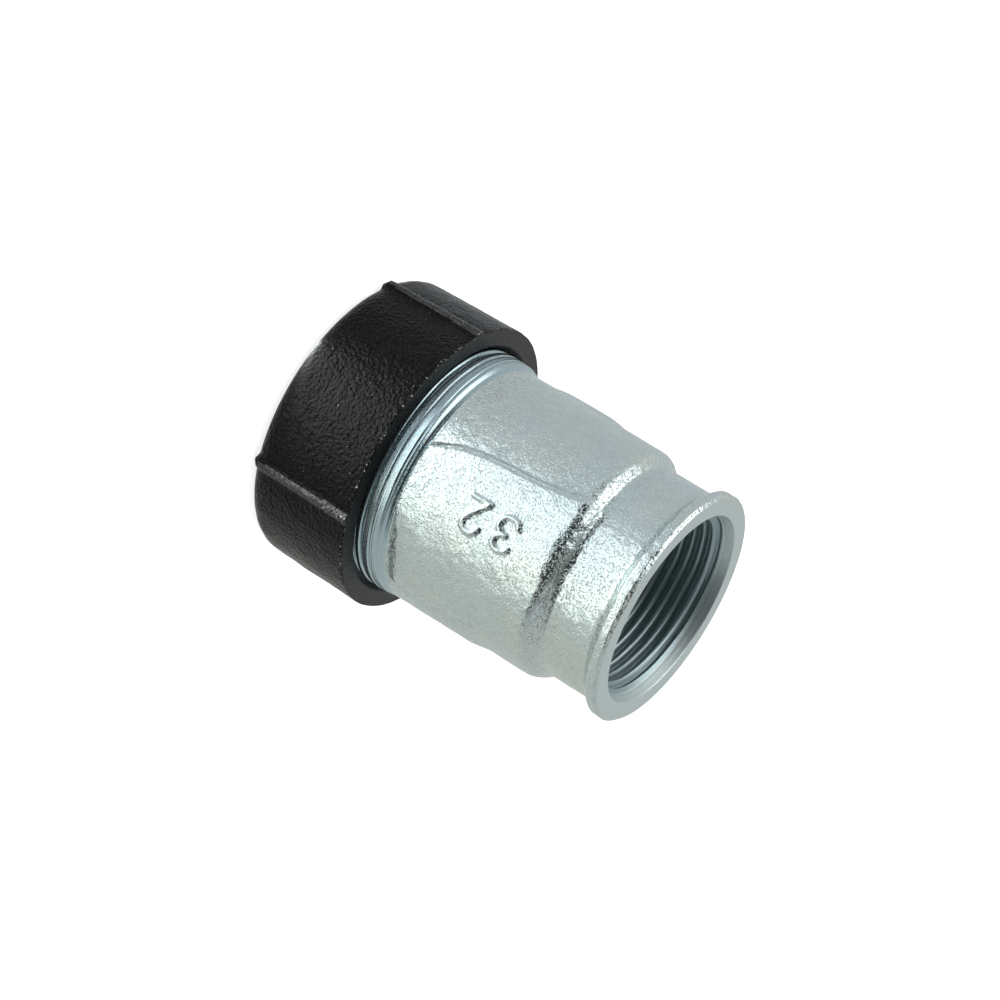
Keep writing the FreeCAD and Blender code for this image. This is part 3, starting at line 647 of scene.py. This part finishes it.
def body_section(settings):
    """Corners of the body's section, each as (radius, height, round, step between points)."""
    male_mean = settings.male_mean_radius / MM
    male_step = settings.male_pitch / MM / 8
    female_step = settings.female_pitch / MM / 8
    return [
        # Male thread and its run-out
        (male_mean, BODY_FOOT, 0, male_step * 1.3),
        (male_mean, 25.2, 0, male_step * 0.5),
        (male_mean, 30.8, 0, male_step * 0.75),
        (male_mean, CAST_START, 0, 0.12),
        (male_mean, CAST_START + 0.2, 0, 0.12),
        # Barrel and shoulder
        (BARREL_FOOT, 32.95, 0.1, 0.5),
        (26.8, 45.6, 0, 0.38),
        (BARREL, 60.6, 0, 0.8),
        (26.7, 68.1, 3.6, 0.6),
        # Neck, flange and end face
        (NECK, 69.8, 1.5, 0.8),
        (NECK, 81.3, 1.8, 0.5),
        (FLANGE, 83.4, 0.8, 0.4),
        (FLANGE, 85.0, 0.4, 0.35),
        (25.6, END_FACE, 0.1, 0.6),
        (21.9, END_FACE, 0.15, 0.35),
        # Bevelled mouth and tapped thread
        (FEMALE_ROOT, 83.5, 0, female_step * 0.8),
        (FEMALE_CREST, 82.02, 0, female_step),
        (FEMALE_CREST, TAPPED_FROM, 0.3, 0.4),
        # Pipe stop, pipe socket and the seal's seat
        (PIPE_STOP, 63.62, 0.3, 0.8),
        (PIPE_STOP, SOCKET_END, 0.2, 0.8),
        (PIPE_SOCKET, SOCKET_END, 0.5, 4.0),
        (PIPE_SOCKET, SEAT_TOP, 0, 0.3),
        (22.4, SEAT_TOP, 0.2, 1.0),
        (SEAT_FOOT, 19.5, 0.3, 1.0),
        (SEAT_FOOT, BODY_FOOT, 0.2, 0.4),
    ]


def body_surface(settings):
    """Make the function that moves the body's points to its threads, pads, seams, number and skin."""
    male_pitch = settings.male_pitch / MM
    male_crest = settings.male_crest_radius / MM
    male_depth = settings.male_depth / MM
    female_pitch = settings.female_pitch / MM
    female_depth = settings.female_depth / MM
    pad_height = settings.pad_height / MM
    number_proud = settings.number_proud / MM
    wave = settings.cast_wave / MM
    strokes = number_strokes(settings.number, settings.number_height / MM)

    def male_thread(height, degrees):
        bevel = 26.45 + (height - BODY_FOOT)
        return min(male_radius(height, degrees, male_crest, male_depth, male_pitch), bevel)

    def tapped_thread(radius, height, degrees):
        groove = 0.5 + 0.5 * math.sin(thread_wave(height, degrees, female_pitch) * math.pi / 2)
        depth = female_depth * groove * fade(height, TAPPED_FROM + 0.1, 66.5)
        return max(radius, FEMALE_CREST + depth)

    def number_rise(height, degrees):
        rising = math.radians(turn_between(degrees, NUMBER_FOOT)) * NUMBER_RADIUS
        if not -1.5 < rising < 8.5:
            return 0.0
        # Each stroke is a rounded ridge that reaches 0.76 mm to either side
        away = distance_to_strokes(NUMBER_MIDDLE - height, rising, strokes)
        return number_proud * ease((0.76 - away) / 0.62)

    def surface(radius, height, degrees, out):
        if radius > 26.9 and height < CAST_START + 0.01:
            return male_thread(height, degrees), height
        if radius < 21.2 and height > TAPPED_FROM - 0.3:
            return tapped_thread(radius, height, degrees), height
        if radius > 25.2 and height > 84.8:
            # The turned front edge stands up to 0.3 mm wider on one side of the cast flange
            radius += 0.3 * (0.5 + 0.5 * math.cos(math.radians(degrees - 40))) ** 2
        bored = radius < 26.4 and (height < 65 or radius < 23.5)
        if bored or height > 85.3:
            return radius, height
        # The pads' foot beside the thread is ragged, and the first pad's rises softly on its right
        share = pad_share(height, degrees)
        soft_end = 3.5 * fade(turn_between(degrees, -88), 0, 18) if degrees > 180 else 0.0
        ragged = 0.3 * noise.noise(Vector((degrees * 0.7, 3.0, 5.0)))
        share *= fade(height, CAST_START + ragged, CAST_START + 0.25 + ragged + soft_end)
        if height < CAST_START + 0.45:
            radius = BARREL_FOOT + 0.01
        radius += pad_height * share * along(PAD_END, height)
        radius += seam_rise(height, degrees) * (1 - share) if height < 60 else 0.0
        # The cast skin is rougher on the pads and under the flange, and smooth beside the thread
        rough = 1 + 0.5 * share + 1.2 * fade(height, 82.5, 84.0)
        skin = wave * cast_bumps(radius, height, degrees, 4.5) * rough * fade(height, 32.6, 34.0)
        radius += out.x * skin
        if share > 0.9 and 44 < height < 63 and math.sin(math.radians(degrees)) < 0:
            radius += number_rise(height, degrees)
        return radius, height + out.y * skin

    return surface


# Finishes of the body, in the order of its material slots
CAST_SKIN, MACHINED_FACE, CUT_THREAD, TAPPED_THREAD, ROUGH_BEVEL = range(5)


def body_finish(radius, height):
    """Finish of the body at a place."""
    if radius < 21.85 and height > 83.6:
        return ROUGH_BEVEL
    if radius < 21.2 and height > TAPPED_FROM - 0.5:
        return TAPPED_THREAD
    if radius > 26 and height < CAST_START + 0.05:
        return CUT_THREAD
    if radius < 23.8 or height > END_FACE - 0.1:
        return MACHINED_FACE
    return CAST_SKIN


class AddBody(bpy.types.Operator):
    """Add the cast body with both threads, the pads and the cast number"""

    bl_idname = "coupling.add_body"
    bl_label = "Add cast body"

    def execute(self, context):
        settings = context.scene.coupling_body
        points = section_points(body_section(settings))
        # Points stand closer at the number and at the first pad's left flank
        angles = fine_angles(settings.steps, [(-102, 11, 1.3), (-126, 6.5, 1.8)])
        piece = spin_section("threaded_body", points, settings.steps)
        reshape(piece, points, angles, body_surface(settings))
        finishes = [
            zinc_cast_skin(settings),
            zinc_machined("zinc_machined_face", settings.zinc, 0.3, 0.00003),
            zinc_machined("zinc_cut_thread", settings.zinc_cut, 0.24, 0.0001),
            zinc_machined("zinc_tapped_thread", settings.zinc_bore, 0.42, 0.0001),
            zinc_machined("zinc_rough_bevel", settings.zinc, 0.5, 0.0001),
        ]
        dress(piece, finishes, body_finish)
        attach(piece, "fitting")
        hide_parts("coupling_body")
        return {"FINISHED"}


def rib_end(out, edge, height, lead_in, bevel):
    """How far in mm a rib stands out from the nut's rear round, in the round's outward direction."""
    crest, end = edge + height, edge - lead_in
    back = max(0.01, -out.y)
    side = max(0.01, out.x)
    return max(0.0, min(crest / side, (crest + end - bevel) / (side + back), end / back) - edge)


def nut_wall(body):
    """Mean radius of the nut's thread, 0.2 mm clear of the body's."""
    return body.male_mean_radius / MM + 0.2


def nut_section(body):
    """Corners of the nut's section, each as (radius, height, round, step between points)."""
    wall = nut_wall(body)
    return [
        # Rear wall and side
        (PIPE_ENTRY, 0.0, 0.8, 1.2),
        (32.85, 0.0, REAR_ROUND, 0.8),
        (NUT_SIDE, NUT_TOP, 0.35, 0.6),
        # Front ring, mouth and thread
        (29.4, NUT_TOP, 0.2, 0.25),
        (wall, 24.25, 0, body.male_pitch / MM / 8),
        (wall, 13.5, 0, 0.3),
        # Groove behind the thread, and the cone that closes the grip ring
        (28.45, 13.5, 0.2, 0.6),
        (28.45, 11.5, 0.2, 0.8),
        (26.067, 11.5, 0.2, 0.9),
        (22.9, 2.8, 0.1, 0.3),
        (PIPE_ENTRY, 2.8, 0.1, 0.5),
    ]


def nut_surface(settings, body):
    """Make the function that moves the nut's points to its thread, ribs and cast skin."""
    pitch = body.male_pitch / MM
    half_depth = body.male_depth / MM / 2
    wall = nut_wall(body)
    rib_height = settings.rib_height / MM
    rib_half = settings.rib_width / MM / 2
    # A rib's flank slopes over this far to either side of its half width
    rib_flank = 0.78
    lead_in = settings.rib_lead_in / MM
    bevel = settings.rib_bevel / MM
    wave = settings.cast_wave / MM

    def surface(radius, height, degrees, out):
        if wall - 0.1 < radius < wall + 1.2 and 13.6 <= height < NUT_TOP - 0.1:
            cut = thread_wave(height, degrees, pitch, THREAD_START) * fade(height, 13.3, 14.4)
            threaded = wall + half_depth * cut
            return (max(radius, threaded) if height > 24.2 else threaded), height
        if radius < 30.6:
            return radius, height
        off = min(abs(turn_between(degrees, place)) for place in RIB_PLACES)
        away = math.radians(off) * NUT_SIDE
        rib = ease((rib_half + rib_flank - away) / (2 * rib_flank)) * fade(radius, 30.8, 31.2)
        bumps = cast_bumps(radius, height, degrees, 4.0) * fade(radius, 30.8, 32.6)
        if height < 5:
            lift = rib * rib_end(out, REAR_ROUND, rib_height, lead_in, bevel)
        else:
            lift = rib * rib_height
        if height > 24:
            return radius + out.x * wave * bumps + lift, height
        lift += wave * bumps
        return radius + out.x * lift, height + out.y * lift

    return surface


# Finishes of the nut, in the order of its material slots
PAINTED_SKIN, TURNED_FRONT, RUBBED_RIB = range(3)


class AddNut(bpy.types.Operator):
    """Add the ribbed clamp nut with its thread"""

    bl_idname = "coupling.add_nut"
    bl_label = "Add clamp nut"

    def execute(self, context):
        settings = context.scene.coupling_nut
        body = context.scene.coupling_body
        rib_height = settings.rib_height / MM
        points = section_points(nut_section(body))
        angles = fine_angles(settings.steps, [(place, 5.0, 2.2) for place in RIB_PLACES])

        def nut_finish(radius, height):
            if radius < 30.0 and height > 2.0 or height > NUT_TOP - 0.04:
                return TURNED_FRONT
            return RUBBED_RIB if radius > NUT_SIDE + 0.2 * rib_height else PAINTED_SKIN

        piece = spin_section("ribbed_nut", points, settings.steps)
        reshape(piece, points, angles, nut_surface(settings, body))
        finishes = [
            black_painted_iron("black_painted_iron", 0.13, settings),
            machined_front(settings),
            black_painted_iron("black_polished_rib", 0.8, settings),
        ]
        dress(piece, finishes, nut_finish)
        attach(piece, "nut")
        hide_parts("clamp_nut")
        return {"FINISHED"}


class AddSeal(bpy.types.Operator):
    """Add the rubber seal with its rounded edges and mould line"""

    bl_idname = "coupling.add_seal"
    bl_label = "Add rubber seal"

    def execute(self, context):
        settings = context.scene.coupling_rings
        steps = 160
        corners = [
            (21.5, 16.6, 0.3, 0.8),
            (25.3, 16.6, 0.5, 0.7),
            (25.3, 19.5, 0.4, 0.8),
            (22.776, 26.6, 0.5, 0.3),
            (21.5, 26.6, 0.3, 1.0),
        ]
        points = section_points(corners)

        def surface(radius, height, degrees, out):
            mould_line = 0.08 * math.exp(-((height - 18.2) / 0.18) ** 2) * max(0.0, out.x)
            return radius + mould_line, height

        piece = spin_section("rubber_seal", points, steps)
        reshape(piece, points, fine_angles(steps, []), surface)
        piece.data.materials.append(seal_rubber(settings))
        bpy.ops.object.shade_smooth()
        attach(piece, "fitting")
        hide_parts("sealing_ring")
        return {"FINISHED"}


class FinishRings(bpy.types.Operator):
    """Give the grip ring and the washer their steels"""

    bl_idname = "coupling.finish_rings"
    bl_label = "Finish steel rings"

    def execute(self, context):
        settings = context.scene.coupling_rings
        steels = {
            "clamping_ring": ring_steel("yellow_passivated_steel", settings.steel, 0.3),
            "pressure_ring": ring_steel("zinc_plated_steel", settings.washer, 0.26),
        }
        for name, steel in steels.items():
            ring = frame["nodes"][name]
            ring.data.materials.clear()
            ring.data.materials.append(steel)
        return {"FINISHED"}


def angle_off(tree, direction, heading):
    """Angle between a direction and a heading in degrees, to either side, seen from above."""
    parts = add_node(tree, "ShaderNodeSeparateXYZ", {0: direction})
    azimuth = add_node(tree, "ShaderNodeMath", {
        0: parts.outputs["Y"], 1: parts.outputs["X"]}, operation="ARCTAN2")
    off = add_node(tree, "ShaderNodeMath", {
        0: azimuth.outputs[0], 1: -math.radians(heading)}, operation="ADD")
    return add_node(tree, "ShaderNodeMath", {0: off.outputs[0]}, operation="ABSOLUTE").outputs[0]


def floor_material():
    """White studio table: it keeps a soft shadow, and for glossy rays it glows, brightest in a wedge by the
    nut; no lamp lights that glow, which is a painted reflection that shows as a gloss on the iron.
    """
    material, tree, place = new_material("studio_table_with_painted_glow")
    ray = add_node(tree, "ShaderNodeLightPath")
    # The painted glow is brightest in a wedge that starts under the nut's edge and opens away from it
    tip = (-0.0184, -0.0229, 0.0)
    from_tip = add_node(tree, "ShaderNodeVectorMath", {0: place, 1: tip}, operation="SUBTRACT")
    painted_glow_wedge = add_node(tree, "ShaderNodeMapRange", {
        "Value": angle_off(tree, from_tip.outputs[0], -99),
        "From Min": math.radians(32), "From Max": math.radians(56),
        "To Min": 1.0, "To Max": 0.0}, interpolation_type="SMOOTHSTEP")
    # The painted glow in the wedge is strongest close to the nut
    out = add_node(tree, "ShaderNodeVectorMath", {0: from_tip.outputs[0]}, operation="LENGTH")
    painted_glow_by_nut = add_node(tree, "ShaderNodeMapRange", {
        "Value": out.outputs["Value"], "From Min": 0.052, "From Max": 0.064, "To Min": 4.6, "To Max": 1.85})
    level = add_node(tree, "ShaderNodeMix", {
        0: painted_glow_wedge.outputs["Result"], 2: 0.7, 3: painted_glow_by_nut.outputs["Result"]}, data_type="FLOAT")
    # The painted glow is a little bluer on the -X side than on the +X side
    across = add_node(tree, "ShaderNodeSeparateXYZ", {0: from_tip.outputs[0]})
    side = add_node(tree, "ShaderNodeMapRange", {
        "Value": across.outputs["X"], "From Min": -0.03, "From Max": 0.04})
    tint = add_node(tree, "ShaderNodeMix", {
        0: side.outputs["Result"], 6: hex_colour("#F2F8FD"), 7: hex_colour("#F7FAF4")}, data_type="RGBA")
    # Glossy rays see the table as this painted glow instead of the white paper, so it paints a reflection
    # on the iron
    gloss = add_node(tree, "ShaderNodeEmission", {
        "Color": tint.outputs[2], "Strength": level.outputs[0]})
    paper = add_node(tree, "ShaderNodeBsdfDiffuse", {"Color": hex_colour("#EDEDED")})
    glow = add_node(tree, "ShaderNodeEmission", {"Color": (1, 1, 1, 1), "Strength": 0.8})
    white = add_node(tree, "ShaderNodeAddShader", {0: paper.outputs[0], 1: glow.outputs[0]})
    others = add_node(tree, "ShaderNodeMixShader", {
        0: ray.outputs["Is Glossy Ray"], 1: paper.outputs[0], 2: gloss.outputs[0]})
    both = add_node(tree, "ShaderNodeMixShader", {
        0: ray.outputs["Is Camera Ray"], 1: others.outputs[0], 2: white.outputs[0]})
    finish_material(tree, both)
    return material


def studio_light():
    """Room light: white for the camera, plain on matt faces, and in gloss dark on the camera's side."""
    world = bpy.data.worlds.new("studio")
    bpy.context.scene.world = world
    world.use_nodes = True
    tree = world.node_tree
    tree.nodes.clear()
    ray = add_node(tree, "ShaderNodeLightPath")
    direction = add_node(tree, "ShaderNodeTexCoord").outputs["Generated"]
    level = add_node(tree, "ShaderNodeMapRange", {
        "Value": angle_off(tree, direction, -103),
        "From Min": math.radians(48), "From Max": math.radians(78),
        "To Min": 0.05, "To Max": 0.66}, interpolation_type="SMOOTHSTEP")
    gloss = add_node(tree, "ShaderNodeBackground", {
        "Color": hex_colour("#F6F9F8"), "Strength": level.outputs["Result"]})
    plain = add_node(tree, "ShaderNodeBackground", {"Color": (1, 1, 1, 1), "Strength": 0.55})
    white = add_node(tree, "ShaderNodeBackground", {"Color": (1, 1, 1, 1), "Strength": 1.0})
    others = add_node(tree, "ShaderNodeMixShader", {
        0: ray.outputs["Is Glossy Ray"], 1: plain.outputs[0], 2: gloss.outputs[0]})
    both = add_node(tree, "ShaderNodeMixShader", {
        0: ray.outputs["Is Camera Ray"], 1: others.outputs[0], 2: white.outputs[0]})
    add_node(tree, "ShaderNodeOutputWorld", {"Surface": both.outputs[0]})


def add_lamp(name, azimuth, elevation, distance, size, energy):
    """Hang a soft square lamp that faces the coupling, at angles in degrees and a distance in metres."""
    turn, rise = math.radians(azimuth), math.radians(elevation)
    middle = Vector((0, 0, 0.043))
    back = Vector((math.cos(turn) * math.cos(rise), math.sin(turn) * math.cos(rise), math.sin(rise)))
    bpy.ops.object.select_all(action="DESELECT")
    bpy.ops.object.light_add(type="AREA", location=middle + back * distance)
    lamp = bpy.context.object
    lamp.name = name
    lamp.rotation_mode = "QUATERNION"
    lamp.rotation_quaternion = (-back).to_track_quat("-Z", "Y")
    lamp.data.size = size
    lamp.data.energy = energy


class AddStage(bpy.types.Operator):
    """Add the floor, the room light, the side lamp and the camera"""

    bl_idname = "coupling.add_stage"
    bl_label = "Add stage"

    def execute(self, context):
        bpy.ops.object.select_all(action="DESELECT")
        bpy.ops.mesh.primitive_plane_add(size=12.0, location=(0, 0, -0.0002))
        floor = context.object
        floor.name = "studio_floor"
        bpy.ops.object.transform_apply(location=True)
        floor.data.materials.append(floor_material())
        studio_light()
        add_lamp("side_lamp", azimuth=163, elevation=55, distance=0.9, size=0.85, energy=3.8)
        bpy.ops.object.select_all(action="DESELECT")
        bpy.ops.object.camera_add()
        camera = context.object
        camera.name = "studio_camera"
        camera.data.sensor_width = 36.0
        camera.data.lens = 100.8
        # The camera that was fitted to the photo's outlines: its axes and its place
        right = Vector((-0.367559, 0.492573, 0.788842))
        up = Vector((-0.868083, 0.122606, -0.481040))
        back = Vector((-0.333665, -0.861591, 0.382529))
        camera.matrix_world = Matrix((right, up, back)).transposed().to_4x4()
        camera.location = (-0.196014, -0.503823, 0.264609)
        context.scene.camera = camera
        context.scene.view_settings.view_transform = "Standard"
        return {"FINISHED"}


OPERATORS = [AddBody, AddNut, AddSeal, FinishRings, AddStage]
GROUPS = {"coupling_body": BodySizes, "coupling_nut": NutSizes, "coupling_rings": RingSizes}


class CouplingPanel(bpy.types.Panel):
    """Lists the coupling's pieces and their settings"""

    bl_idname = "VIEW3D_PT_coupling"
    bl_label = "Pipe coupling"
    bl_space_type = "VIEW_3D"
    bl_region_type = "UI"
    bl_category = "Pipe coupling"

    def draw(self, context):
        for operator in OPERATORS:
            self.layout.operator(operator.bl_idname)
        for name, group in GROUPS.items():
            box = self.layout.box()
            for setting in group.__annotations__:
                box.prop(getattr(context.scene, name), setting)


def register():
    """Register the settings, the operators and the panel."""
    for group in GROUPS.values():
        bpy.utils.register_class(group)
    for name, group in GROUPS.items():
        setattr(bpy.types.Scene, name, bpy.props.PointerProperty(type=group))
    for kind in [*OPERATORS, CouplingPanel]:
        bpy.utils.register_class(kind)


def unregister():
    """Take out what register put in."""
    for kind in [CouplingPanel, *reversed(OPERATORS)]:
        bpy.utils.unregister_class(kind)
    for name, group in GROUPS.items():
        delattr(bpy.types.Scene, name)
        bpy.utils.unregister_class(group)


def main():
    """Build the coupling and its stage."""
    register()
    bpy.ops.coupling.add_body()
    bpy.ops.coupling.add_nut()
    bpy.ops.coupling.add_seal()
    bpy.ops.coupling.finish_rings()
    bpy.ops.coupling.add_stage()


if __name__ == "__main__":
    main()
